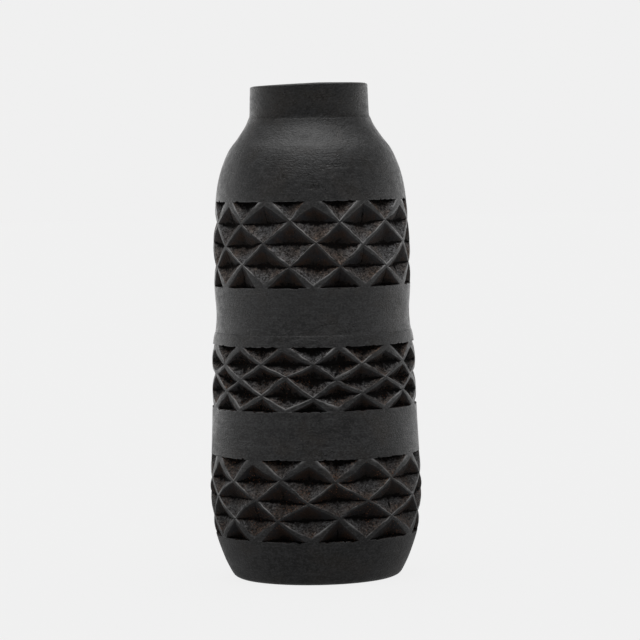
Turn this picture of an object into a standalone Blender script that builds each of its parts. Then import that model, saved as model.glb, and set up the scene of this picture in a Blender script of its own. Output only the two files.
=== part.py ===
"""A tall black clay vase (barro negro) with three chip-carved bands, as the pieces that it is raised from.

A flat disc makes the floor. A lower and an upper wall are raised apart and luted one on the other, in the
plain band between the upper and the middle carving. A collar makes the neck. The vase stands on the world
origin, +Z up, and its front faces -Y. Sizes are in metres, and the outlines are in millimetres.
"""

import math
from collections import namedtuple

import bmesh
import bpy

MM = 0.001

# Driving dimensions.
SEAM_HEIGHT = 175 * MM  # where the upper wall sits on the lower wall
COLLAR_HEIGHT = 325.5 * MM  # where the collar sits on the upper wall
FLOOR_THICKNESS = 9 * MM
FLOOR_RADIUS = 46 * MM
JOINT_GAP = 0.3 * MM  # the slip between two pieces of clay
RIDGE_WIDTH = 2.2 * MM  # the flat clay left standing between two pits
PIT_MOUTH = 5 * MM  # how far a pit's cutter stands out of the wall
TURN_STEPS = 48
SMOOTH_ANGLE = math.radians(30)

# The surfaces, each as (height, radius) from its foot to its top, in millimetres. The foot and the shoulder
# are smooth curves through their points.
FOOT_CURVE = [(0, 56.2), (1.2, 58.8), (4.2, 61.2), (15, 66.4), (31.8, 72)]
BELLY_TO_BELT = [(31.8, 72), (46, 74), (60, 75.3), (75, 75.2), (88.6, 74.2), (122.4, 72.8)]
BELT_TO_SEAM = [(122.4, 72.8), (157, 72.3), (169, 71.3), (175, 70)]
CHEST = [(175, 69.8), (180, 69.1), (190, 68.7), (208, 69.8), (237, 69.9), (267.4, 67.8)]
SHOULDER_CURVE = [(267.4, 67.8), (286, 64.5), (302, 58.1), (312, 51), (320, 45.9), (325.5, 43.4)]
COLLAR = [(325.5, 43.3), (328.5, 42.5), (337, 42.2), (348.4, 41.8)]
BELLY_INSIDE = [(9, 46.3), (14, 52), (22, 57.5), (32, 61.5), (62, 64.8), (110, 62.6), (175, 59.6)]
CHEST_INSIDE = [(175, 59.6), (218, 59.8), (262, 58.4), (286, 53.6), (302, 45.8), (314, 38.4), (325.5, 35.6)]
COLLAR_INSIDE = [(325.5, 35.6), (348.4, 35.4)]
LIP = 1.6  # how far the rim rounds up above the collar's two sides

# A carved band is a net of ridges that cross on five levels, its two edges among them. The crossings were
# laid out by eye across the front: their angles are in degrees to the right of the front, half a column
# apart, and the rest of the way round is divided evenly. The ridges meet the band's edges at every second
# crossing, counted from the one that edge_crossing gives.
LEVELS = 5
Band = namedtuple("Band", "wall bottom top columns depth edge_crossing crossings")
BANDS = [
    Band(
        wall="lower_wall", bottom=31.8 * MM, top=88.6 * MM, columns=11, depth=6 * MM, edge_crossing=1,
        crossings=(-78, -66, -50, -35.5, -20, -4, 11, 29.5, 46.5, 64.5, 77),
    ),
    Band(
        wall="lower_wall", bottom=122.4 * MM, top=166.6 * MM, columns=12, depth=5.5 * MM, edge_crossing=0,
        crossings=(-73, -59, -45, -29, -16, -1, 13.5, 28, 43.5, 58, 72),
    ),
    Band(
        wall="upper_wall", bottom=207.9 * MM, top=267.4 * MM, columns=12, depth=6 * MM, edge_crossing=1,
        crossings=(-73, -59, -43.5, -28, -12.5, 2, 16.5, 32, 49, 66, 79),
    ),
]


def clear_scene():
    for thing in list(bpy.data.objects):
        bpy.data.objects.remove(thing, do_unlink=True)


def new_collection(name):
    collection = bpy.data.collections.new(name)
    bpy.context.scene.collection.children.link(collection)
    return collection


def clay(name, colour, roughness):
    material = bpy.data.materials.new(name)
    material.use_nodes = True
    shader = material.node_tree.nodes["Principled BSDF"]
    shader.inputs["Base Color"].default_value = (*colour, 1)
    shader.inputs["Roughness"].default_value = roughness
    shader.inputs["Metallic"].default_value = 0
    return material


def add_object(name, mesh, collection):
    thing = bpy.data.objects.new(name, mesh)
    collection.objects.link(thing)
    return thing


def apply_modifiers(thing):
    graph = bpy.context.evaluated_depsgraph_get()
    mesh = bpy.data.meshes.new_from_object(thing.evaluated_get(graph))
    thing.modifiers.clear()
    thing.data = mesh


def rounded(points):
    """An outline with a point of its Catmull-Rom curve added halfway between each two of its points."""
    padded = [points[0], *points, points[-1]]
    curve = []
    for before, start, end, after in zip(padded, padded[1:], padded[2:], padded[3:]):
        middle = tuple((9 * (b + c) - a - d) / 16 for a, b, c, d in zip(before, start, end, after))
        curve += [start, middle]
    return [*curve, points[-1]]


def rim(outer, inner):
    """The round lip from the top of the collar's outside to the top of its inside."""
    height = outer[0]
    middle = (outer[1] + inner[1]) / 2
    half = (outer[1] - inner[1]) / 2
    angles = [math.radians(angle) for angle in range(30, 180, 30)]
    return [(height + LIP * math.sin(angle), middle + half * math.cos(angle)) for angle in angles]


def surface(points, low=None, high=None):
    """An outline in metres, with its first and last point moved to the heights low and high."""
    line = [(height * MM, radius * MM) for height, radius in points]
    if low is not None:
        line[0] = (low, line[0][1])
    if high is not None:
        line[-1] = (high, line[-1][1])
    return line


def turned(name, outside, inside, collection):
    """A ring turned about Z, between its outside and its inside curve, which both rise."""
    outline = outside[::-1] + inside
    mesh = bpy.data.meshes.new(name)
    shape = bmesh.new()
    corners = [shape.verts.new((radius, 0, height)) for height, radius in outline]
    for corner, following in zip(corners, corners[1:] + corners[:1]):
        shape.edges.new((corner, following))
    shape.to_mesh(mesh)
    shape.free()
    ring = add_object(name, mesh, collection)
    turn = ring.modifiers.new("turn", "SCREW")
    turn.steps = TURN_STEPS
    turn.render_steps = TURN_STEPS
    turn.use_merge_vertices = True
    turn.merge_threshold = 0.01 * MM
    return ring


def radius_at(curve, height):
    """The radius of a rising curve at a height."""
    for (low, low_radius), (high, high_radius) in zip(curve, curve[1:]):
        if height <= high:
            share = (height - low) / (high - low)
            return low_radius + share * (high_radius - low_radius)
    return curve[-1][1]


def crossing_angles(band):
    """The angle of every ridge crossing round a band, half a column apart."""
    laid = band.crossings
    spaces = 2 * band.columns - len(laid) + 1
    spacing = (360 + laid[0] - laid[-1]) / spaces
    rest = [laid[-1] + spacing * (index + 1) for index in range(spaces - 1)]
    return [math.radians(angle) for angle in (*laid, *rest)]


def unit_pit(half):
    """A pyramid with its point at z=-1, under an upright mouth whose corners are at 1 and -1 on X and Y.

    half keeps only the upper half (1) or the lower half (-1), and 0 keeps it whole.
    """
    pit = bmesh.new()
    bmesh.ops.create_cone(pit, cap_ends=True, segments=4, radius1=1, radius2=1, depth=1)
    bmesh.ops.translate(pit, verts=pit.verts, vec=(0, 0, 0.5))
    base = min(pit.faces, key=lambda face: face.calc_center_median().z)
    bmesh.ops.poke(pit, faces=[base], offset=1)
    if half:
        everything = [*pit.verts, *pit.edges, *pit.faces]
        bmesh.ops.bisect_plane(
            pit, geom=everything, plane_co=(0, 0, 0), plane_no=(0, -half, 0), clear_outer=True
        )
        bmesh.ops.holes_fill(pit, edges=pit.edges)
    bmesh.ops.recalc_face_normals(pit, faces=pit.faces)
    return pit


def pit_cutter(band, outside, collection):
    """The cutter of a whole band: one closed pyramid for each pit, wrapped round the wall."""
    level_height = (band.top - band.bottom) / (LEVELS - 1)
    angles = crossing_angles(band)
    cutter = bmesh.new()
    for level in range(LEVELS):
        half = {0: 1, LEVELS - 1: -1}.get(level, 0)
        centre_height = band.bottom + level * level_height
        first = band.edge_crossing + 1 - level % 2
        for column in range(first, first + 2 * band.columns, 2):
            left, centre, right = (unrolled(angles, column + side) for side in (-1, 0, 1))
            half_width = (right - left) / 2 * radius_at(outside, centre_height)
            reach = half_width * level_height / math.hypot(half_width, level_height)
            mouth = 1 - RIDGE_WIDTH / 2 / reach
            pit = unit_pit(half)
            for corner in pit.verts:
                x, y, z = corner.co
                angle = centre + x * mouth * (right - centre if x > 0 else centre - left)
                height = centre_height + y * mouth * level_height
                radius = radius_at(outside, height) + z * (PIT_MOUTH if z > 0 else band.depth)
                corner.co = (radius * math.sin(angle), -radius * math.cos(angle), height)
            mesh = bpy.data.meshes.new("pit")
            pit.to_mesh(mesh)
            pit.free()
            cutter.from_mesh(mesh)
            bpy.data.meshes.remove(mesh)
    mesh = bpy.data.meshes.new("pits")
    cutter.to_mesh(mesh)
    cutter.free()
    thing = add_object(f"{band.wall}_pits_{round(band.bottom / MM)}", mesh, collection)
    thing.hide_render = True
    thing.display_type = "WIRE"
    return thing


def unrolled(angles, index):
    """The angle of a crossing, one turn further on each time the index goes round."""
    turns, place = divmod(index, len(angles))
    return angles[place] + turns * math.tau


def carve(wall, outside, cutters):
    for band in BANDS:
        if band.wall == wall.name:
            cut = wall.modifiers.new("carving", "BOOLEAN")
            cut.operation = "DIFFERENCE"
            cut.solver = "EXACT"
            cut.object = pit_cutter(band, outside, cutters)


def finish(piece, material):
    apply_modifiers(piece)
    piece.data.materials.clear()
    piece.data.materials.append(material)
    piece.data.shade_smooth()
    piece.data.set_sharp_from_angle(angle=SMOOTH_ANGLE)


def build_floor_disc(parts):
    """The flat pat of clay that closes the foot."""
    mesh = bpy.data.meshes.new("floor_disc")
    shape = bmesh.new()
    bmesh.ops.create_cone(
        shape, cap_ends=True, segments=TURN_STEPS,
        radius1=FLOOR_RADIUS, radius2=FLOOR_RADIUS, depth=FLOOR_THICKNESS,
    )
    bmesh.ops.translate(shape, verts=shape.verts, vec=(0, 0, FLOOR_THICKNESS / 2))
    shape.to_mesh(mesh)
    shape.free()
    return add_object("floor_disc", mesh, parts)


def build_lower_wall(parts, cutters):
    """The foot and the belly, with the lower and the middle band."""
    top = SEAM_HEIGHT - JOINT_GAP / 2
    outside = surface(rounded(FOOT_CURVE) + BELLY_TO_BELT[1:] + BELT_TO_SEAM[1:], high=top)
    seat = (0, FLOOR_RADIUS + JOINT_GAP)
    inside = [seat, *surface(BELLY_INSIDE, low=FLOOR_THICKNESS, high=top)]
    wall = turned("lower_wall", outside, inside, parts)
    carve(wall, outside, cutters)
    return wall


def build_upper_wall(parts, cutters):
    """The chest with the upper band, and the plain shoulder."""
    low = SEAM_HEIGHT + JOINT_GAP / 2
    high = COLLAR_HEIGHT - JOINT_GAP / 2
    outside = surface(CHEST + rounded(SHOULDER_CURVE)[1:], low, high)
    inside = surface(CHEST_INSIDE, low, high)
    wall = turned("upper_wall", outside, inside, parts)
    carve(wall, outside, cutters)
    return wall


def build_neck_collar(parts):
    """The upright neck with its rounded rim."""
    low = COLLAR_HEIGHT + JOINT_GAP / 2
    outside = surface(COLLAR + rim(COLLAR[-1], COLLAR_INSIDE[-1]), low)
    inside = surface(COLLAR_INSIDE, low)
    return turned("neck_collar", outside, inside, parts)


def main():
    clear_scene()
    parts = new_collection("carved_vase")
    cutters = new_collection("cutters")
    burnished = {"colour": (0.03, 0.03, 0.032), "roughness": 0.42}
    finish(build_floor_disc(parts), clay("floor_clay", (0.035, 0.032, 0.03), 0.7))
    finish(build_lower_wall(parts, cutters), clay("lower_wall_clay", **burnished))
    finish(build_upper_wall(parts, cutters), clay("upper_wall_clay", **burnished))
    finish(build_neck_collar(parts), clay("collar_clay", **burnished))


main()
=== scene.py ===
import math
import random
from collections import namedtuple

import bpy
import numpy as np
from mathutils import Matrix, Vector, noise


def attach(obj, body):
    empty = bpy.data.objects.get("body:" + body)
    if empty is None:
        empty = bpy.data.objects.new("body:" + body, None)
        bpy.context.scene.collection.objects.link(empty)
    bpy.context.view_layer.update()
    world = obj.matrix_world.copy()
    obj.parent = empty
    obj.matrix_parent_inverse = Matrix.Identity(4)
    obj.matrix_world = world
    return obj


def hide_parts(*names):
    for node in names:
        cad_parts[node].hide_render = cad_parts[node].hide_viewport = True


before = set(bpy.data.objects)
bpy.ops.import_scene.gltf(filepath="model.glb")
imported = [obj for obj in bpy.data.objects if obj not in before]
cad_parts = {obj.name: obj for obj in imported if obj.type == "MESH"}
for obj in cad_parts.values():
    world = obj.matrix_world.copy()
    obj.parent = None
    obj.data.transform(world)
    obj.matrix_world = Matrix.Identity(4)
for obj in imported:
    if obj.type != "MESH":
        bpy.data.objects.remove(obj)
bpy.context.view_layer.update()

# A tall vase of black clay, with three bands of chip-carved diamonds on a burnished body. Each piece of clay
# is one fine mesh in the place of its CAD piece. Lengths are in millimetres until a point enters a mesh, and
# angles are measured round the axis to the right of the front, which faces -Y.

MM = 0.001
SEED = 11
TINY = 1e-6

# The outlines that the pieces of clay are turned to, as (height, radius).
FOOT = [(0, 56.2), (1.2, 58.8), (4.2, 61.2), (15, 66.4), (31.8, 72)]
BELLY_TO_BELT = [(31.8, 72), (46, 74), (60, 75.3), (75, 75.2), (88.6, 74.2), (122.4, 72.8)]
BELT_TO_SEAM = [(122.4, 72.8), (157, 72.3), (169, 71.3), (175, 70)]
CHEST = [(175, 69.8), (180, 69.1), (190, 68.7), (208, 69.8), (237, 69.9), (267.4, 67.8)]
SHOULDER = [(267.4, 67.8), (286, 64.6), (302, 58.4), (312, 51.2), (320, 45.9), (325.5, 43.4)]
COLLAR = [(325.5, 43.3), (328.5, 42.5), (337, 42.2), (348.4, 41.8)]
BELLY_INSIDE = [(9, 46.3), (14, 52), (22, 57.5), (32, 61.5), (62, 64.8), (110, 62.6), (175, 59.6)]
CHEST_INSIDE = [(175, 59.6), (218, 59.8), (262, 58.4), (286, 53.6), (302, 45.8), (314, 38.4), (325.5, 35.6)]
COLLAR_INSIDE = [(325.5, 35.6), (348.4, 35.4)]

# The pieces and their seams.
SEAM_HEIGHT = 175
SEAM_GROOVE = 0.2  # how far each wall's edge is rounded in at the seam between them
COLLAR_HEIGHT = 325.5
FLOOR_THICKNESS = 9
FLOOR_RADIUS = 46
GAP = 0.02  # how far each piece stops short of a seam
LIP = 1.5  # how far the rim is rounded up
LIP_STEP = 10  # degrees
RIM_DIP = 1.2  # how far the rim sinks at its lowest place
RIM_DIP_ANGLE = math.radians(-80)

# The plain surfaces.
INSET = 0.03  # how far the fine surface stays inside the coarse one
UNEVEN = 0.2  # how far the hand-turned surface wanders in
SLOW_WAVE = 45
QUICK_WAVE = 24
WALL_RADIUS = 70  # a usual radius, where the noise that shapes the walls is read
SHARP_ANGLE = math.radians(28)

# The marks of the fingers inside. Their climb is how far they rise, or spread, with each radian.
FINGER_DEPTH = 0.3
FINGER_PITCH = 9.42
FINGER_CLIMB = 1.5
INSIDE_WANDER = 0.5
INSIDE_WAVE = 30
SPIRAL_DEPTH = 0.35
SPIRAL_PITCH = 7.54
SPIRAL_CLIMB = 1.2
SPIRAL_FADE = 4
SPIRAL_START = 1.5
SPIRAL_MIDDLE = 0.3  # how deep the middle of the spiral lies

# The rows and columns of the plain meshes.
SPACING = {
    "foot": 1.4, "belt": 2, "seam": 0.8, "shoulder": 1.6, "inside": 2.4, "collar": 1.2, "collar inside": 1.8,
}
MARGIN = 1.4  # the plain rows start this far from a carved band
WAIST_GAP = 1  # and this far from the ring where two belts of different columns meet
INSIDE_COLUMNS = 96
COLLAR_COLUMNS = 180
UNDER_RINGS = 12
OVER_RINGS = 40

# The carved bands. Ridges cross on five levels, the band's two edges among them, at angles laid across the
# front. ridge is the usual width of a ridge, cells is the number of mesh cells along the side of a diamond,
# the field after cells is how far the painted shade of a crease spreads up and down its pit, and
# edge_crossing is the first place with a crossing on the band's edges. top_flat and bottom_flat are how far
# the pits there stop short of their crossings.
LEVELS = 5
Band = namedtuple(
    "Band", "bottom top columns depth ridge cells soot edge_crossing top_flat bottom_flat crossings",
)
LOWER_BAND = Band(
    bottom=31.8, top=88.6, columns=11, depth=6.2, ridge=1.6, cells=28, soot=0.36, edge_crossing=1,
    top_flat=4.0, bottom_flat=3.0,
    crossings=(-78, -66, -50, -35.5, -20, -4, 11, 29.5, 46.5, 64.5, 77),
)
MIDDLE_BAND = Band(
    bottom=122.4, top=166.6, columns=12, depth=5.8, ridge=1.8, cells=28, soot=1.15, edge_crossing=0,
    top_flat=2.2, bottom_flat=2.6,
    crossings=(-73, -59, -45, -29, -16, -1, 13.5, 28, 43.5, 58, 72),
)
UPPER_BAND = Band(
    bottom=207.9, top=267.4, columns=12, depth=6.2, ridge=1.4, cells=34, soot=0.36, edge_crossing=1,
    top_flat=4.4, bottom_flat=3.0,
    crossings=(-73, -59, -43.5, -28, -12.5, 2, 16.5, 32, 49, 66, 79),
)

# How the carver's hand varies, as ranges and chances for seeded draws.
STRAY_ROUND = 1.7  # of a crossing, in degrees
STRAY_UP = 1.6
SET_BACK = (0.2, 2.3, 0.7)  # of a corner from its crossing: the least, the most and the usual
SET_BACK_STRAY = 0.5
FLAT_SHARE = (0.6, 1.4)
DEPTH_SHARE = (0.86, 1.06)
UPPER_ROUND = (0.12, 0.4)
LOWER_ROUND = (0.2, 0.9)
UPPER_SCORED = 0.4
LOWER_SCORED = 0.22
# How far a pit's painted crease shade strays from its band's, and how much more it spreads at the band's
# edges.
CREASE_SHADE_SHARE = (0.6, 1.4)
EDGE_CREASE_SHADE = {0: 0.14, LEVELS - 1: 0.3}
LEAN_SIDEWAYS = 0.07  # of the deepest line of a pit, as a share of the pit's width
LEAN_UP = (-1.2, 0.8)

# How the ridges and the pits' sides bow, in long waves and in short ones.
BOW = 1.2
BOW_WAVE = 16
KINK = 0.4
KINK_WAVE = 4.5
BOW_FADE = 6  # how far from a band's edge it fades out

# How the knife leaves the clay.
UPPER_CURVE = 1.35  # the power by which the upper facets are hollow
UNDERCUT = 1.8
MOUTH_STEP = 0.12  # how far a pit's outline lies below the ridge
FACET_STEP = 0.2
UPPER_ROUGH = 0.12
LOWER_ROUGH = 0.3
COARSE_WAVE = 2.4
FINE_WAVE = 1.1
RAGGED_WAVE = 3
SCORE_DEPTH = 0.5
SCORE_RAGGED = 0.4
SCORE_WIDTH = 0.08
RIDGE_WEAR = 0.8
RIDGE_WEAR_START = 0.25
RIDGE_WEAR_WAVE = 6
CHIP = 3
CHIP_START = 0.12
CHIP_WAVE = 2.6
EDGE_WEAR = 0.6
EDGE_WEAR_WAVE = 7
EDGE_STEP = 0.15  # how far the plain surface's edge stands back from the band, at least

# What the clay's materials read at each point of a mesh.
MASKS = ("raw", "crease", "edge", "torn")
CUT = 0.3  # faces with a corner rawer than this are not burnished
# The unburnished inside and floor disc; their rawness also darkens them with the pits' painted deep shade.
INSIDE_RAW = 0.6
FLOOR_RAW = 0.7
# How strongly each edge is lightened, partly by wear and partly as a painted highlight.
UPPER_EDGE = 0.35
LOWER_EDGE = 1.0
BAND_EDGE = 0.6

# The colours of the burnished clay.
SOOT = (0.003, 0.003, 0.003)
PORE = (0.002, 0.002, 0.002)
SATIN = (0.032, 0.032, 0.033)
STROKE = (0.075, 0.075, 0.078)
SMOKE = (0.024, 0.018, 0.013)
PEEL = (0.06, 0.06, 0.062)
SPECK = (0.12, 0.11, 0.1)
# Partly the black worn off and partly a painted highlight, along sharp edges.
RUBBED_AND_HIGHLIGHT = (0.42, 0.42, 0.422)
BODY_PATCH = (0.016, 0.0157, 0.0157)
COLLAR_PATCH = (0.034, 0.031, 0.027)

# The colours of the cut clay.
SMOOTH_GREY = (0.014, 0.014, 0.016)
SMOOTH_BROWN = (0.024, 0.0125, 0.0072)
FIBRE = (0.004, 0.003, 0.0025)
# Painted light where a cut is shallow, near the ridges.
SHALLOW_LIGHT = (0.024, 0.024, 0.0255)
TORN_DARK = (0.016, 0.0135, 0.012)
# The lower facets face up: their grey and brown, and the bright flecks, are partly painted light.
LIT_TORN_GREY = (0.125, 0.124, 0.127)
LIT_TORN_BROWN = (0.095, 0.072, 0.059)
BRIGHT_GREY = (0.27, 0.267, 0.265)
BRIGHT_BROWN = (0.25, 0.165, 0.115)
# Darker towards the bottom of the vase, on the lower facets.
LOW_DARK = (0.007, 0.005, 0.004)
# Painted shade in the deep places of the pits, inside the vase and on the floor disc.
DEEP_SHADE = (0.0045, 0.0032, 0.0025)
# Painted shade along the creases.
CREASE_SHADE_COLOUR = (0.001, 0.0008, 0.0007)
RUST = (0.3, 0.125, 0.06)
# Partly chipped clay and partly a painted highlight, along sharp edges.
CHIPPED_AND_HIGHLIGHT = (0.52, 0.518, 0.515)

# The stage, in metres: how bright it is where the camera sees it, and how bright as a light.
STAGE_RADIUS = 12
FLOOR_COLOUR = 0.03
FLOOR_SEEN = 0.841
FLOOR_NEAR = 0.4
FLOOR_FAR = 1.8
FLOOR_GLOW_NEAR = 0.22
FLOOR_GLOW_FAR = 1.25
BACKGROUND_SEEN = 0.871
FRONT_LIGHT = 0.11
WALL_LIGHT = 0.58
BACK_LIGHT = 0.61
TOP_LIGHT = 2.85
LEFT_SHARE = 1.14
RIGHT_SHARE = 0.88
HIGH_SHARE = 0.35  # of the walls' light that is left high up
SIDE_SHARE = 0.4  # of the top's light that is left at the sides

# The camera: a long lens at the height of the shoulder.
LENS = 173.3
SENSOR = 36
CAMERA_PLACE = (0.005, -2.19, 0.302)
CAMERA_AIM = (0.005, 0, 0.182)
CAMERA_ROLL = math.radians(-1.05)


def smooth_curve(points, steps=12):
    """A Catmull-Rom curve through (height, radius) points."""
    padded = np.array([points[0], *points, points[-1]], float)
    curve = []
    for before, start, end, after in zip(padded, padded[1:], padded[2:], padded[3:]):
        for t in np.arange(steps) / steps:
            curve.append(
                start + t * (end - before) / 2 + t**2 * (before - 2.5 * start + 2 * end - after / 2)
                + t**3 * (1.5 * (start - end) + (after - before) / 2)
            )
    return np.array([*curve, points[-1]])


def radius_at(curve, height):
    return float(np.interp(height, curve[:, 0], curve[:, 1]))


def spaced(curve, low, high, spacing):
    """Points at an even spacing along a rising outline between two heights, both included."""
    near = 0.05
    part = curve[(curve[:, 0] > low + near) & (curve[:, 0] < high - near)]
    line = np.array([(low, radius_at(curve, low)), *part, (high, radius_at(curve, high))])
    run = np.concatenate(([0], np.cumsum(np.hypot(*np.diff(line, axis=0).T))))
    shares = np.linspace(0, run[-1], max(2, round(run[-1] / spacing) + 1))
    heights = np.interp(shares, run, line[:, 0])
    radii = np.interp(shares, run, line[:, 1])
    return list(zip(heights.tolist(), radii.tolist()))


def even_angles(count):
    return [math.tau * place / count for place in range(count)]


def waver(angle, height, size, shift=(0, 0, 0)):
    """Smooth noise between -1 and 1 at a place on the walls, in waves of a given size."""
    place = Vector((WALL_RADIUS * math.sin(angle), -WALL_RADIUS * math.cos(angle), height)) / size
    return noise.noise(place + Vector(shift))


def hand_turned(angle, height, radius):
    """The radius of a plain surface at a place, a little uneven as the hand left it."""
    slow = waver(angle, height * 0.6, SLOW_WAVE)
    quick = waver(angle, height * 3.0, QUICK_WAVE, shift=(9, 9, 9))
    return radius - INSET - UNEVEN * (0.5 + 0.35 * slow + 0.15 * quick)


class Shell:
    """The points and faces of one turned piece, with the masks that its clay reads."""

    def __init__(self):
        self.points = []
        self.faces = []
        self.pit_faces = set()
        self.raw = []  # how deep a cut goes, 0 on the burnished surface and 1 at the bottom of a pit
        self.crease = []  # 1 along the lines where the knife's cuts meet
        self.edge = []  # 1 along a sharp cut edge
        self.torn = []  # 1 on a pit's lower facet, which faces up and is painted lighter as if lit

    def add(self, angle, height, radius, raw=0.0, edge=0.0, torn=0.0, crease=0.0):
        self.points.append((radius * math.sin(angle) * MM, -radius * math.cos(angle) * MM, height * MM))
        self.raw.append(raw)
        self.edge.append(edge)
        self.torn.append(torn)
        self.crease.append(crease)
        return len(self.points) - 1

    def ring(self, angles, height, radius):
        return [self.add(angle, height, radius) for angle in angles]

    def bridge(self, lower, upper):
        """Quads between two rings of equal number, the first of which lies lower on an outer surface."""
        for place in range(len(lower)):
            following = (place + 1) % len(lower)
            self.faces.append((lower[place], lower[following], upper[following], upper[place]))

    def stitch(self, lower, lower_angles, upper, upper_angles):
        """Triangles between two rings that differ in number."""
        apart = np.angle(np.exp(1j * (np.array(upper_angles) - lower_angles[0])))
        shift = int(np.argmin(np.abs(apart)))
        upper = upper[shift:] + upper[:shift]
        upper_angles = list(upper_angles[shift:]) + [angle + math.tau for angle in upper_angles[:shift]]
        offset = round((lower_angles[0] - upper_angles[0]) / math.tau) * math.tau
        ends_low = [*lower_angles[1:], lower_angles[0] + math.tau]
        ends_high = [angle + offset for angle in (*upper_angles[1:], upper_angles[0] + math.tau)]
        low = high = 0
        while low < len(lower) or high < len(upper):
            here_low, here_high = lower[low % len(lower)], upper[high % len(upper)]
            if high == len(upper) or (low < len(lower) and ends_low[low] <= ends_high[high]):
                self.faces.append((here_low, lower[(low + 1) % len(lower)], here_high))
                low += 1
            else:
                self.faces.append((here_low, upper[(high + 1) % len(upper)], here_high))
                high += 1

    def plain_rows(self, angles, line, ring=None):
        """Rows of the plain surface along a line of (height, radius), joined to a ring if one is given."""
        rings = []
        for height, radius in line:
            following = [self.add(angle, height, hand_turned(angle, height, radius)) for angle in angles]
            if ring:
                self.bridge(ring, following)
            ring = following
            rings.append(following)
        return rings[0], rings[-1]

    def inside_rows(self, line):
        """Rows of an inner surface along a falling line, with the marks of the fingers."""
        angles = even_angles(INSIDE_COLUMNS)
        rings = []
        for height, radius in line:
            ring = []
            for angle in angles:
                turn = (height + angle * FINGER_CLIMB) * math.tau / FINGER_PITCH
                finger = FINGER_DEPTH * math.sin(turn)
                wander = INSIDE_WANDER * waver(angle, height, INSIDE_WAVE)
                ring.append(self.add(angle, height, radius + finger + wander, raw=INSIDE_RAW))
            if rings:
                self.bridge(rings[-1], ring)
            rings.append(ring)
        return rings[0], rings[-1]

    def piece(self, name, node, clay, cut):
        """The piece of clay that stands for a CAD node, burnished but for its pits and its inside."""
        mesh = bpy.data.meshes.new(name)
        mesh.from_pydata(self.points, [], self.faces)
        for mask in MASKS:
            mesh.attributes.new(mask, "FLOAT", "POINT").data.foreach_set("value", getattr(self, mask))
        mesh.materials.append(clay)
        mesh.materials.append(cut)
        is_cut = [
            int(place in self.pit_faces or max(self.raw[corner] for corner in face) > CUT)
            for place, face in enumerate(self.faces)
        ]
        mesh.polygons.foreach_set("material_index", is_cut)
        mesh.shade_smooth()
        mesh.set_sharp_from_angle(angle=SHARP_ANGLE)
        thing = bpy.data.objects.new(name, mesh)
        bpy.context.scene.collection.objects.link(thing)
        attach(thing, "root")
        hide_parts(node)


# The shape of one pit: how deep it is, how round each facet is across its middle, whether the knife scored a
# line down that middle, whether the pit is cut in under the band's upper edge, and how far the painted shade
# spreads from its crease.
Facets = namedtuple("Facets", "deep upper_round lower_round upper_scored lower_scored under_edge spread")


def crossing_angles(band):
    """The angles of all the crossings round a band: those listed, and the rest evenly behind."""
    laid = band.crossings
    spaces = 2 * band.columns - len(laid) + 1
    spacing = (360 + laid[0] - laid[-1]) / spaces
    rest = [laid[-1] + spacing * (index + 1) for index in range(spaces - 1)]
    return [math.radians(angle) for angle in (*laid, *rest)]


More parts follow.
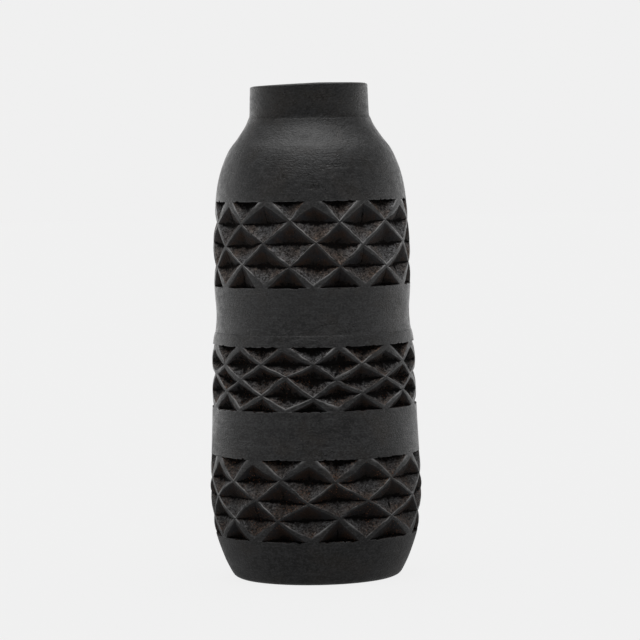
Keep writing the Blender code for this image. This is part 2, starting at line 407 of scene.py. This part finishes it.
class Carving:
    """A band of pits on a shell. Its mesh follows the net, so every ridge and crease is a line of edges."""

    def __init__(self, shell, band, outside):
        self.shell = shell
        self.band = band
        self.outside = outside
        self.chance = random.Random(f"{SEED} {band.bottom}")
        self.angles = crossing_angles(band)
        self.level_height = (band.top - band.bottom) / (LEVELS - 1)
        self.shared = {}  # the points by their place in the band's net, since pits share their ridges
        self.crossings = {
            (place, level): self.lay_crossing(place, level)
            for level in range(LEVELS)
            for place in range(len(self.angles))
        }
        for level in range(LEVELS):
            for column in self.pit_columns(level):
                self.add_pit(column, level)

    def pit_columns(self, level):
        first = self.band.edge_crossing + 1 - level % 2
        return range(first, first + 2 * self.band.columns, 2)

    def net_key(self, column, level, across, up):
        """A point's place in the net, counted in cells from the left corner of a pit."""
        cells = self.band.cells
        return ((column - 1) * cells + across) % (len(self.angles) * cells), level * cells + up

    def lay_crossing(self, place, level):
        on_edge = level in (0, LEVELS - 1)
        angle = self.angles[place] + math.radians(self.chance.uniform(-STRAY_ROUND, STRAY_ROUND))
        height = self.band.bottom + level * self.level_height
        return angle, height + (0 if on_edge else self.chance.uniform(-STRAY_UP, STRAY_UP))

    def crossing(self, column, level):
        turns, place = divmod(column, len(self.angles))
        angle, height = self.crossings[(place, level)]
        return np.array((angle + turns * math.tau, height))

    def set_back(self, length, flat):
        """How far a corner stops short of its crossing, and how far it strays sideways from there."""
        back = length * self.chance.triangular(*SET_BACK)
        short = back + flat * self.chance.uniform(*FLAT_SHARE)
        return short, back * self.chance.uniform(-SET_BACK_STRAY, SET_BACK_STRAY)

    def pit_corners(self, column, level):
        """The corners of a pit's mouth: left, bottom, right and top, as (angle, height)."""
        band = self.band
        left = self.crossing(column - 1, level)
        right = self.crossing(column + 1, level)
        girth = radius_at(self.outside, left[1])
        half_width = (right[0] - left[0]) / 2 * girth
        slope = self.level_height / half_width
        slant = math.hypot(half_width, self.level_height)
        beside = band.ridge / 2 * slant / self.level_height
        below = band.ridge / 2 * slant / half_width
        full = 0 < level < LEVELS - 1
        flat = {0: band.bottom_flat, LEVELS - 1: band.top_flat}.get(level, 0)
        corners = {}
        for name, start, side in (("left", left, 1), ("right", right, -1)):
            back, stray = self.set_back(beside, flat)
            corners[name] = start + (side * back / girth, stray * slope if full else 0)
        if level < LEVELS - 1:
            back, stray = self.set_back(below, band.top_flat / 2 if level == LEVELS - 2 else 0)
            corners["top"] = self.crossing(column, level + 1) + (stray / slope / girth, -back)
        if level > 0:
            back, stray = self.set_back(below, band.bottom_flat / 2 if level == 1 else 0)
            corners["bottom"] = self.crossing(column, level - 1) + (stray / slope / girth, back)
        if level == 0:
            corners["bottom"] = corners["left"] + corners["right"] - corners["top"]
        if level == LEVELS - 1:
            corners["top"] = corners["left"] + corners["right"] - corners["bottom"]
        return corners["left"], corners["bottom"], corners["right"], corners["top"]

    def pit_facets(self, level):
        return Facets(
            deep=self.band.depth * self.chance.uniform(*DEPTH_SHARE),
            upper_round=self.chance.uniform(*UPPER_ROUND),
            lower_round=self.chance.uniform(*LOWER_ROUND),
            upper_scored=self.chance.random() < UPPER_SCORED,
            lower_scored=self.chance.random() < LOWER_SCORED,
            under_edge=level == LEVELS - 1,
            spread=self.band.soot * self.chance.uniform(*CREASE_SHADE_SHARE) + EDGE_CREASE_SHADE.get(level, 0),
        )

    def add_pit(self, column, level):
        """One pit and its share of the ridges: a grid of points whose corners are the crossings round it."""
        cells = self.band.cells
        left, bottom, right, top = self.pit_corners(column, level)
        facets = self.pit_facets(level)
        lean = np.zeros(2)
        if 0 < level < LEVELS - 1:
            sideways = (right - left) * self.chance.uniform(-LEAN_SIDEWAYS, LEAN_SIDEWAYS)
            lean = sideways + (0, self.chance.uniform(*LEAN_UP))
        ends = {
            "left": self.crossing(column - 1, level),
            "right": self.crossing(column + 1, level),
            "top": self.crossing(column, level + 1) if level < LEVELS - 1 else None,
            "bottom": self.crossing(column, level - 1) if level > 0 else None,
        }
        index = {}
        for a in range(cells + 1):
            for b in range(cells + 1):
                if (level == 0 and b < a) or (level == LEVELS - 1 and b > a):
                    continue
                key = self.net_key(column, level, a + b, b - a)
                if key not in self.shared and (a in (0, cells) or b in (0, cells)):
                    self.shared[key] = self.ridge_point(a, b, ends)
                elif key not in self.shared:
                    s, t = (a - 1) / (cells - 2), (b - 1) / (cells - 2)
                    flat = (1 - s) * (1 - t) * left + s * (1 - t) * bottom + s * t * right + (1 - s) * t * top
                    flat = flat + lean * 16 * s * (1 - s) * t * (1 - t)
                    self.shared[key] = self.pit_point(flat, s, t, facets)
                index[a, b] = self.shared[key]
        self.add_faces(index)

    def ridge_point(self, a, b, ends):
        """A point on the middle line of a ridge."""
        cells = self.band.cells
        if a == 0:
            start, end, share = ends["left"], ends["top"], b / cells
        elif b == 0:
            start, end, share = ends["left"], ends["bottom"], a / cells
        elif b == cells:
            start, end, share = ends["top"], ends["right"], a / cells
        else:
            start, end, share = ends["bottom"], ends["right"], b / cells
        if start is None or end is None:
            start = end = ends["left"] if start is not None or share < 1 else ends["right"]
        angle, height = start + (end - start) * share
        angle, height = self.bend(angle, height)
        worn = max(0, waver(angle, height, RIDGE_WEAR_WAVE) - RIDGE_WEAR_START) * RIDGE_WEAR
        radius = hand_turned(angle, height, radius_at(self.outside, height)) - worn
        return self.shell.add(angle, height, radius)

    def bend(self, angle, height):
        """Bows the ridges and the pits' sides a little, and not upwards at the band's edges."""
        to_edge = min(self.band.top - height, height - self.band.bottom)
        hold = max(0, min(1, to_edge / BOW_FADE))
        side = waver(angle, height, BOW_WAVE, shift=(3, 0, 0)) * BOW + waver(angle, height, KINK_WAVE) * KINK
        lift = waver(angle, height, BOW_WAVE, shift=(0, 7, 0)) * BOW
        lift += waver(angle, height, KINK_WAVE, shift=(5, 5, 5)) * KINK
        return angle + side / WALL_RADIUS, height + lift * hold

    def pit_point(self, flat, s, t, facets):
        """A point of a pit, from its share of the way along the two sides that leave the left corner."""
        across, up = s + t - 1, t - s
        span = 1 - abs(up)
        upper = up > 0
        scored = facets.upper_scored if upper else facets.lower_scored
        soft = facets.upper_round if upper else facets.lower_round
        place = across / span if span > TINY else 0
        rise = math.sqrt(1 + soft**2)
        hollow = max(0, span * (rise - math.sqrt(min(1, place**2) + soft**2)) / (rise - soft))
        on_outline = min(s, t, 1 - s, 1 - t) < TINY
        angle, height = self.bend(*flat)
        ragged = waver(angle, height, RAGGED_WAVE)
        depth = facets.deep * hollow ** (UPPER_CURVE if upper else 1.0)
        if facets.under_edge:
            depth += UNDERCUT * min(1, 2 * hollow) * max(0, 1 + 3.5 * up)
        if on_outline:
            depth += MOUTH_STEP
        else:
            rough = waver(angle, height, COARSE_WAVE) + 0.5 * waver(angle, height, FINE_WAVE)
            depth += FACET_STEP + rough * (UPPER_ROUGH if upper else LOWER_ROUGH) * min(1, hollow * 5)
        if abs(up) < TINY and hollow > 0.05:
            depth += SCORE_DEPTH + SCORE_RAGGED * ragged
        elif abs(across) < TINY and scored:
            depth += (SCORE_DEPTH + SCORE_RAGGED * ragged) * min(1, 2 * hollow)
        crease = max(0, 1 - abs(up) / (facets.spread * (1.15 - abs(place))))
        if scored:
            crease = max(crease, (1 - abs(across) / SCORE_WIDTH) * min(1, 1.5 * hollow) * (0.75 + ragged))
        return self.shell.add(
            angle,
            height,
            hand_turned(angle, height, radius_at(self.outside, height)) - depth,
            raw=min(1, depth / facets.deep),
            crease=crease * min(1, 6 * hollow),
            edge=(UPPER_EDGE if upper else LOWER_EDGE) if on_outline else 0.0,
            torn=float(up < 0),
        )

    def add_faces(self, index):
        """The faces of a pit's grid, split along its diagonals: the crease and the middle of each facet."""
        cells = self.band.cells
        faces = self.shell.faces
        for a in range(cells):
            for b in range(cells):
                before = len(faces)
                corners = [(a, b), (a + 1, b), (a + 1, b + 1), (a, b + 1)]
                present = [index[corner] for corner in corners if corner in index]
                if len(present) == 4 and a == b:
                    left, bottom, right, top = present
                    faces.append((left, bottom, right))
                    faces.append((left, right, top))
                elif len(present) == 4 and a + b + 1 == cells:
                    left, bottom, right, top = present
                    faces.append((left, bottom, top))
                    faces.append((bottom, right, top))
                elif len(present) == 4 or (len(present) == 3 and a == b):
                    faces.append(tuple(present))
                if 0 < a < cells - 1 and 0 < b < cells - 1:
                    self.shell.pit_faces.update(range(before, len(faces)))

    def edge_ring(self, level):
        """The plain surface's edge along one side of the band, joined to the pits by their cut walls."""
        floor = [
            self.shared[self.net_key(column, level, 2 * cell, 0)]
            for column in self.pit_columns(level)
            for cell in range(self.band.cells)
        ]
        base, side = (self.band.bottom, -1) if level == 0 else (self.band.top, 1)
        angles, ring = [], []
        for index in floor:
            x, y, _ = self.shell.points[index]
            angle = math.atan2(x, -y)
            raw = self.shell.raw[index]
            chip = max(0, waver(angle, base, CHIP_WAVE) - CHIP_START) * CHIP
            chip += max(0, waver(angle, base, EDGE_WEAR_WAVE)) * EDGE_WEAR
            height = base + side * (EDGE_STEP + min(1, chip) * min(1, 2 * raw))
            radius = hand_turned(angle, height, radius_at(self.outside, height))
            angles.append(angle)
            ring.append(self.shell.add(angle, height, radius, edge=BAND_EDGE * min(1, 4 * raw)))
        if level == 0:
            self.shell.bridge(ring, floor)
        else:
            self.shell.bridge(floor, ring)
        return ring, list(np.unwrap(angles))


def build_lower_wall(clays):
    """The foot, the lower and the middle band, and the plain belts beside them."""
    outside = smooth_curve(FOOT + BELLY_TO_BELT[1:] + BELT_TO_SEAM[1:])
    shell = Shell()
    lower = Carving(shell, LOWER_BAND, outside)
    middle = Carving(shell, MIDDLE_BAND, outside)
    few = even_angles(INSIDE_COLUMNS)
    waist = (LOWER_BAND.top + MIDDLE_BAND.bottom) / 2

    carved_from, foot_angles = lower.edge_ring(0)
    foot = spaced(outside, 0, LOWER_BAND.bottom - MARGIN, SPACING["foot"])
    heel, ring = shell.plain_rows(foot_angles, foot)
    shell.bridge(ring, carved_from)

    carved_to, belt_angles = lower.edge_ring(LEVELS - 1)
    belt = spaced(outside, LOWER_BAND.top + MARGIN, waist - WAIST_GAP, SPACING["belt"])
    _, low_waist = shell.plain_rows(belt_angles, belt, carved_to)

    carved_from, waist_angles = middle.edge_ring(0)
    belt = spaced(outside, waist + WAIST_GAP, MIDDLE_BAND.bottom - MARGIN, SPACING["belt"])
    high_waist, ring = shell.plain_rows(waist_angles, belt)
    shell.stitch(low_waist, belt_angles, high_waist, waist_angles)
    shell.bridge(ring, carved_from)

    carved_to, top_angles = middle.edge_ring(LEVELS - 1)
    belt = spaced(outside, MIDDLE_BAND.top + MARGIN, SEAM_HEIGHT - GAP, SPACING["seam"])
    belt[-1] = (belt[-1][0], belt[-1][1] - SEAM_GROOVE)
    _, top = shell.plain_rows(top_angles, belt, carved_to)

    cavity = spaced(smooth_curve(BELLY_INSIDE), FLOOR_THICKNESS, SEAM_HEIGHT - GAP, SPACING["inside"])
    first, last = shell.inside_rows(cavity[::-1])
    shell.stitch(top, top_angles, first, few)
    seat = shell.ring(few, FLOOR_THICKNESS, FLOOR_RADIUS + GAP)
    under = shell.ring(few, 0, FLOOR_RADIUS + GAP)
    shell.bridge(last, seat)
    shell.bridge(seat, under)
    shell.stitch(under, few, heel, foot_angles)
    shell.piece("lower_wall_clay", "lower_wall", clays["burnished"], clays["cut"])


def build_upper_wall(clays):
    """The chest with its band, and the plain shoulder."""
    outside = smooth_curve(CHEST + SHOULDER[1:])
    shell = Shell()
    band = Carving(shell, UPPER_BAND, outside)
    few = even_angles(INSIDE_COLUMNS)

    carved_from, angles = band.edge_ring(0)
    chest = spaced(outside, SEAM_HEIGHT + GAP, UPPER_BAND.bottom - MARGIN, SPACING["seam"])
    chest[0] = (chest[0][0], chest[0][1] - SEAM_GROOVE)
    bottom, ring = shell.plain_rows(angles, chest)
    shell.bridge(ring, carved_from)

    carved_to, top_angles = band.edge_ring(LEVELS - 1)
    shoulder = spaced(outside, UPPER_BAND.top + MARGIN, COLLAR_HEIGHT - GAP, SPACING["shoulder"])
    _, top = shell.plain_rows(top_angles, shoulder, carved_to)

    cavity = spaced(smooth_curve(CHEST_INSIDE), SEAM_HEIGHT + GAP, COLLAR_HEIGHT - GAP, SPACING["inside"])
    first, last = shell.inside_rows(cavity[::-1])
    shell.stitch(top, top_angles, first, few)
    shell.stitch(last, few, bottom, angles)
    shell.piece("upper_wall_clay", "upper_wall", clays["burnished"], clays["cut"])


def build_neck_collar(clays):
    """The upright neck and its rounded rim."""
    shell = Shell()
    outside, inside = smooth_curve(COLLAR), np.array(COLLAR_INSIDE)
    (rim_height, outer), (_, inner) = COLLAR[-1], COLLAR_INSIDE[-1]
    middle, half = (outer + inner) / 2, (outer - inner) / 2
    turns = [math.radians(turn) for turn in range(LIP_STEP, 180, LIP_STEP)]
    line = [
        *spaced(outside, COLLAR_HEIGHT + GAP, rim_height, SPACING["collar"]),
        *[(rim_height + LIP * math.sin(turn), middle + half * math.cos(turn)) for turn in turns],
        *spaced(inside, COLLAR_HEIGHT + GAP, rim_height, SPACING["collar inside"])[::-1],
    ]
    first, last = shell.plain_rows(even_angles(COLLAR_COLUMNS), line)
    shell.bridge(last, first)
    sink_rim(shell)
    shell.piece("neck_collar_clay", "neck_collar", clays["collar"], clays["cut"])


def sink_rim(shell):
    """Lets the rim sag to one side, as it did when the clay was soft."""
    foot = COLLAR_HEIGHT * MM
    rise = COLLAR[-1][0] * MM - foot
    for index, (x, y, z) in enumerate(shell.points):
        towards = math.cos(math.atan2(x, -y) - RIM_DIP_ANGLE)
        share = max(0, (z - foot) / rise) ** 2
        shell.points[index] = (x, y, z - RIM_DIP * MM * share * max(0, towards))


def build_floor_disc(clays):
    """The pat of clay that closes the foot, with the spiral of a finger on its upper face."""
    shell = Shell()
    outer = FLOOR_RADIUS - GAP
    under = [(0, radius) for radius in np.linspace(SPIRAL_START, outer, UNDER_RINGS)]
    over = [(FLOOR_THICKNESS, radius) for radius in np.linspace(outer, SPIRAL_START, OVER_RINGS)]
    rings = []
    for height, radius in under + over:
        fade = min(1, (outer - radius) / SPIRAL_FADE) if height else 0
        ring = []
        for angle in even_angles(INSIDE_COLUMNS):
            turn = (radius + angle * SPIRAL_CLIMB) * math.tau / SPIRAL_PITCH
            dent = SPIRAL_DEPTH * (1 - math.cos(turn)) * fade
            ring.append(shell.add(angle, height - dent, radius, raw=FLOOR_RAW))
        if rings:
            shell.bridge(rings[-1], ring)
        rings.append(ring)
    for ring, height in ((rings[0], 0), (rings[-1], FLOOR_THICKNESS - SPIRAL_MIDDLE)):
        centre = shell.add(0, height, 0, raw=FLOOR_RAW)
        for place, corner in enumerate(ring):
            following = ring[(place + 1) % len(ring)]
            shell.faces.append((corner, centre, following) if height == 0 else (corner, following, centre))
    shell.piece("floor_disc_clay", "floor_disc", clays["cut"], clays["cut"])


class Nodes:
    """A short way to lay out a material's nodes."""

    def __init__(self, name, specular):
        self.material = bpy.data.materials.new(name)
        self.material.use_nodes = True
        self.tree = self.material.node_tree
        self.shader = self.tree.nodes["Principled BSDF"]
        self.shader.inputs["Specular IOR Level"].default_value = specular
        self.place = self.tree.nodes.new("ShaderNodeTexCoord").outputs["Object"]

    def link(self, value, socket):
        if isinstance(value, bpy.types.NodeSocket):
            self.tree.links.new(value, socket)
        else:
            socket.default_value = value

    def stretched(self, scale):
        """The place on the vase, scaled along X, Y and Z."""
        node = self.tree.nodes.new("ShaderNodeMapping")
        node.inputs["Scale"].default_value = scale
        self.link(self.place, node.inputs["Vector"])
        return node.outputs["Vector"]

    def noise(self, scale, stretch=(1, 1, 1), detail=3.0, roughness=0.5, distortion=0.0):
        node = self.tree.nodes.new("ShaderNodeTexNoise")
        self.link(self.stretched(stretch), node.inputs["Vector"])
        node.inputs["Scale"].default_value = scale
        node.inputs["Detail"].default_value = detail
        node.inputs["Roughness"].default_value = roughness
        node.inputs["Distortion"].default_value = distortion
        return node.outputs["Fac"]

    def cells(self, scale):
        node = self.tree.nodes.new("ShaderNodeTexVoronoi")
        node.inputs["Scale"].default_value = scale
        self.link(self.place, node.inputs["Vector"])
        return node.outputs["Distance"]

    def height(self):
        node = self.tree.nodes.new("ShaderNodeSeparateXYZ")
        self.link(self.place, node.inputs["Vector"])
        return node.outputs["Z"]

    def mask(self, name):
        node = self.tree.nodes.new("ShaderNodeAttribute")
        node.attribute_name = name
        return node.outputs["Fac"]

    def ranged(self, value, low, high, to_low=0.0, to_high=1.0):
        node = self.tree.nodes.new("ShaderNodeMapRange")
        node.inputs["From Min"].default_value = low
        node.inputs["From Max"].default_value = high
        node.inputs["To Min"].default_value = to_low
        node.inputs["To Max"].default_value = to_high
        self.link(value, node.inputs["Value"])
        return node.outputs["Result"]

    def math(self, operation, first, second):
        node = self.tree.nodes.new("ShaderNodeMath")
        node.operation = operation
        self.link(first, node.inputs[0])
        self.link(second, node.inputs[1])
        return node.outputs["Value"]

    def blend(self, share, first, second):
        """A colour that goes from the first to the second as the share rises."""
        node = self.tree.nodes.new("ShaderNodeMix")
        node.data_type = "RGBA"
        self.link(share, node.inputs["Factor"])
        for colour, socket in ((first, node.inputs[6]), (second, node.inputs[7])):
            self.link(colour if isinstance(colour, bpy.types.NodeSocket) else (*colour, 1), socket)
        return node.outputs[2]

    def bump(self, height, distance, before=None):
        node = self.tree.nodes.new("ShaderNodeBump")
        node.inputs["Strength"].default_value = 1
        node.inputs["Distance"].default_value = distance * MM
        self.link(height, node.inputs["Height"])
        if before:
            self.link(before, node.inputs["Normal"])
        return node.outputs["Normal"]

    def finish(self, colour, roughness, normal):
        self.link(colour, self.shader.inputs["Base Color"])
        self.link(roughness, self.shader.inputs["Roughness"])
        self.link(normal, self.shader.inputs["Normal"])
        return self.material


def worn_and_highlit_edge(nodes):
    """Lightening of sharp edges, by wear and a painted highlight: in thin lines, here and there, less so low
    down.
    """
    line = nodes.math("POWER", nodes.mask("edge"), 2.6)
    rubbed_and_glinting = nodes.ranged(nodes.noise(75), 0.4, 0.64, 0.0, 0.85)
    higher_up = nodes.ranged(nodes.height(), 0.09, 0.2, 0.85, 1.0)
    return nodes.math("MULTIPLY", line, nodes.math("MULTIPLY", rubbed_and_glinting, higher_up))


def burnished_clay(name, specular, patch):
    """Black clay burnished to a satin: sooty clouds, level strokes of the stone, specks, darker towards the
    top, and sharp edges lightened partly by wear and partly as a painted highlight.
    """
    nodes = Nodes(name, specular)
    clouds = nodes.noise(30, stretch=(1, 1, 1.5), detail=5, roughness=0.6, distortion=0.4)
    mottle = nodes.noise(170, stretch=(1, 1, 1.6), detail=5, roughness=0.65)
    strokes = nodes.noise(60, stretch=(1, 1, 16), detail=5, roughness=0.65)
    peel = nodes.noise(620, stretch=(1, 1, 1.5), roughness=0.6)
    grain = nodes.noise(1500, detail=2)
    smoke = nodes.noise(42, detail=5, distortion=0.6)
    specks = nodes.ranged(nodes.cells(230), 0.0, 0.15, 1, 0)
    worn = worn_and_highlit_edge(nodes)

    colour = nodes.blend(nodes.ranged(clouds, 0.4, 0.6), SOOT, patch)
    colour = nodes.blend(nodes.ranged(mottle, 0.45, 0.58, 0, 0.75), colour, SATIN)
    colour = nodes.blend(nodes.ranged(mottle, 0.42, 0.3, 0, 0.6), colour, SOOT)
    colour = nodes.blend(nodes.ranged(strokes, 0.55, 0.68, 0, 0.6), colour, STROKE)
    colour = nodes.blend(nodes.ranged(smoke, 0.5, 0.68, 0, 0.6), colour, SMOKE)
    colour = nodes.blend(nodes.ranged(peel, 0.5, 0.64, 0, 0.6), colour, PEEL)
    colour = nodes.blend(nodes.ranged(peel, 0.46, 0.34, 0, 0.8), colour, PORE)
    # Darker towards the top.
    colour = nodes.blend(nodes.ranged(nodes.height(), 0.1, 0.34, 0, 0.5), colour, SOOT)
    colour = nodes.blend(nodes.math("MULTIPLY", specks, 0.4), colour, SPECK)
    # Sharp edges lightened, partly by wear and partly as a painted highlight.
    colour = nodes.blend(worn, colour, RUBBED_AND_HIGHLIGHT)

    satin = nodes.ranged(mottle, 0.35, 0.65, 0.28, 0.46)
    cloudy = nodes.ranged(clouds, 0.35, 0.65, 0.05, -0.05)
    roughness = nodes.math("ADD", satin, cloudy)
    roughness = nodes.math("MULTIPLY", roughness, nodes.ranged(worn, 0, 0.6, 1, 0.6))

    normal = nodes.bump(strokes, 0.18)
    normal = nodes.bump(mottle, 0.4, normal)
    normal = nodes.bump(peel, 0.32, normal)
    normal = nodes.bump(grain, 0.02, normal)
    return nodes.finish(colour, roughness, normal)


def cut_clay():
    """The matt clay of the pits: sooty and brown clay in patches; greyer and rough from tearing below the
    crease, where the facets face up and are painted lighter; painted shade along the creases and in the deep
    places.
    """
    nodes = Nodes("cut_black_clay", specular=0.2)
    raw = nodes.mask("raw")
    torn = nodes.mask("torn")
    clouds = nodes.noise(85, detail=4, distortion=0.5)
    patches = nodes.noise(60)
    tears = nodes.noise(560, stretch=(1, 1, 1.3), detail=4, roughness=0.6, distortion=0.8)
    fibres = nodes.noise(520, stretch=(1, 1, 0.3), detail=4, roughness=0.6)
    grain = nodes.noise(1000, roughness=0.7)
    ragged = nodes.noise(300, roughness=0.6)
    worn = worn_and_highlit_edge(nodes)

    upper = nodes.blend(nodes.ranged(clouds, 0.36, 0.58), SMOOTH_GREY, SMOOTH_BROWN)
    upper = nodes.blend(nodes.ranged(fibres, 0.5, 0.66, 0, 0.7), upper, FIBRE)
    # Painted light: the upper facets lighter where the cut is shallow, near the ridges.
    upper = nodes.blend(nodes.ranged(raw, 0.02, 0.25, 0.8, 0), upper, SHALLOW_LIGHT)

    # The lower facets face up and are painted much lighter than the upper ones, over a grain of tearing.
    brown = nodes.ranged(patches, 0.4, 0.65)
    lower = nodes.blend(nodes.ranged(tears, 0.4, 0.56), TORN_DARK, nodes.blend(brown, LIT_TORN_GREY, LIT_TORN_BROWN))
    bright = nodes.blend(brown, BRIGHT_GREY, BRIGHT_BROWN)
    lower = nodes.blend(nodes.ranged(tears, 0.58, 0.7, 0, 0.8), lower, bright)
    # The lower facets darker towards the bottom of the vase.
    lower = nodes.blend(nodes.ranged(nodes.height(), 0.21, 0.07, 0, 0.28), lower, LOW_DARK)

    # Painted shade: nearly black along the creases, in a ragged line.
    hidden = nodes.math("ADD", nodes.mask("crease"), nodes.ranged(ragged, 0.3, 0.7, -0.45, 0.35))
    # Painted shade in the pits' deep places, the inside and the floor disc; half as much on the lower facets.
    deep = nodes.ranged(raw, 0.25, 0.9, 0, 0.85)
    deep = nodes.math("MULTIPLY", deep, nodes.ranged(torn, 0, 1, 1, 0.5))
    rust = nodes.ranged(nodes.cells(620), 0.0, 0.3, 1, 0)
    rust = nodes.math("MULTIPLY", rust, nodes.ranged(patches, 0.45, 0.6))
    rust = nodes.math("MULTIPLY", rust, nodes.ranged(nodes.height(), 0.06, 0.2, 0.9, 0.2))
    colour = nodes.blend(torn, upper, lower)
    colour = nodes.blend(nodes.ranged(hidden, 0.3, 0.65, 0, 0.98), colour, CREASE_SHADE_COLOUR)
    colour = nodes.blend(deep, colour, DEEP_SHADE)
    colour = nodes.blend(rust, colour, RUST)
    # Sharp edges lightened, partly by wear and partly as a painted highlight.
    colour = nodes.blend(worn, colour, CHIPPED_AND_HIGHLIGHT)

    matt = nodes.ranged(grain, 0.3, 0.7, 0.5, 0.75)
    roughness = nodes.math("MAXIMUM", matt, nodes.ranged(hidden, 0.3, 0.7))
    roughness = nodes.math("MULTIPLY", roughness, nodes.ranged(worn, 0, 0.6, 1, 0.5))
    normal = nodes.bump(tears, 0.6)
    normal = nodes.bump(grain, 0.15, normal)
    return nodes.finish(colour, roughness, normal)


def smooth_range(tree, value, low, high, to_low, to_high):
    """A number that goes smoothly from one to another as a value rises from low to high."""
    node = tree.nodes.new("ShaderNodeMapRange")
    node.interpolation_type = "SMOOTHSTEP"
    for socket, number in zip(list(node.inputs)[1:5], (low, high, to_low, to_high)):
        socket.default_value = number
    tree.links.new(value, node.inputs["Value"])
    return node.outputs["Result"]


def combined(tree, operation, *values):
    node = tree.nodes.new("ShaderNodeMath")
    node.operation = operation
    for value, socket in zip(values, node.inputs):
        tree.links.new(value, socket)
    return node.outputs["Value"]


def seen_as(tree, brightness, glow):
    """An even brightness where the camera looks straight at it, and the true glow for all else."""
    node = tree.nodes.new("ShaderNodeMix")
    node.data_type = "FLOAT"
    tree.links.new(tree.nodes.new("ShaderNodeLightPath").outputs["Is Camera Ray"], node.inputs[0])
    tree.links.new(glow, node.inputs[2])
    node.inputs[3].default_value = brightness
    return node.outputs[0]


def build_stage():
    """A pale floor, which lights the vase from far away and is dim beneath it."""
    bpy.ops.mesh.primitive_circle_add(vertices=96, radius=STAGE_RADIUS, fill_type="NGON")
    floor = bpy.context.active_object
    floor.name = "stage_floor"
    material = bpy.data.materials.new("pale_floor")
    material.use_nodes = True
    tree = material.node_tree
    shader = tree.nodes["Principled BSDF"]
    shader.inputs["Base Color"].default_value = (FLOOR_COLOUR, FLOOR_COLOUR, FLOOR_COLOUR, 1)
    shader.inputs["Roughness"].default_value = 1
    shader.inputs["Specular IOR Level"].default_value = 0
    shader.inputs["Emission Color"].default_value = (1, 1, 1, 1)
    away = tree.nodes.new("ShaderNodeVectorMath")
    away.operation = "LENGTH"
    tree.links.new(tree.nodes.new("ShaderNodeTexCoord").outputs["Object"], away.inputs[0])
    glow = smooth_range(tree, away.outputs["Value"], FLOOR_NEAR, FLOOR_FAR, FLOOR_GLOW_NEAR, FLOOR_GLOW_FAR)
    tree.links.new(seen_as(tree, FLOOR_SEEN, glow), shader.inputs["Emission Strength"])
    floor.data.materials.append(material)


def light_stage():
    """A white tent: brightest overhead, bright at the sides and behind, and dim on the camera's side."""
    world = bpy.data.worlds.new("studio")
    world.use_nodes = True
    tree = world.node_tree
    split = tree.nodes.new("ShaderNodeSeparateXYZ")
    tree.links.new(tree.nodes.new("ShaderNodeTexCoord").outputs["Generated"], split.inputs["Vector"])
    x, y, z = split.outputs

    walls = combined(
        tree, "MULTIPLY",
        smooth_range(tree, y, -0.95, 0.1, FRONT_LIGHT, WALL_LIGHT),
        smooth_range(tree, x, -1, 1, LEFT_SHARE, RIGHT_SHARE),
    )
    walls = combined(tree, "MULTIPLY", walls, smooth_range(tree, z, 0.15, 0.6, 1, HIGH_SHARE))
    behind = combined(
        tree, "MULTIPLY",
        smooth_range(tree, y, 0.15, 0.75, 0, BACK_LIGHT),
        smooth_range(tree, z, 0, 0.5, 1, 0),
    )
    sideways = combined(tree, "ABSOLUTE", x)
    above = combined(
        tree, "MULTIPLY",
        smooth_range(tree, z, 0.55, 1, 0, TOP_LIGHT),
        smooth_range(tree, sideways, 0.1, 0.6, 1, SIDE_SHARE),
    )
    light = combined(tree, "ADD", combined(tree, "ADD", walls, behind), above)
    background = tree.nodes["Background"]
    tree.links.new(seen_as(tree, BACKGROUND_SEEN, light), background.inputs["Strength"])
    background.inputs["Color"].default_value = (1, 1, 1, 1)
    bpy.context.scene.world = world


def add_camera():
    """The camera that took the picture, rolled a little."""
    camera_data = bpy.data.cameras.new("camera")
    camera_data.lens = LENS
    camera_data.sensor_width = SENSOR
    camera = bpy.data.objects.new("camera", camera_data)
    bpy.context.scene.collection.objects.link(camera)
    camera.location = CAMERA_PLACE
    turn = (Vector(CAMERA_AIM) - Vector(CAMERA_PLACE)).to_track_quat("-Z", "Y").to_matrix()
    camera.rotation_euler = (turn @ Matrix.Rotation(CAMERA_ROLL, 3, "Z")).to_euler()
    bpy.context.scene.camera = camera


bpy.context.scene.view_settings.view_transform = "Standard"
clays = {
    "burnished": burnished_clay("burnished_black_clay", specular=0.5, patch=BODY_PATCH),
    "collar": burnished_clay("collar_black_clay", specular=0.3, patch=COLLAR_PATCH),
    "cut": cut_clay(),
}
add_camera()
light_stage()
build_stage()
build_floor_disc(clays)
build_lower_wall(clays)
build_upper_wall(clays)
build_neck_collar(clays)
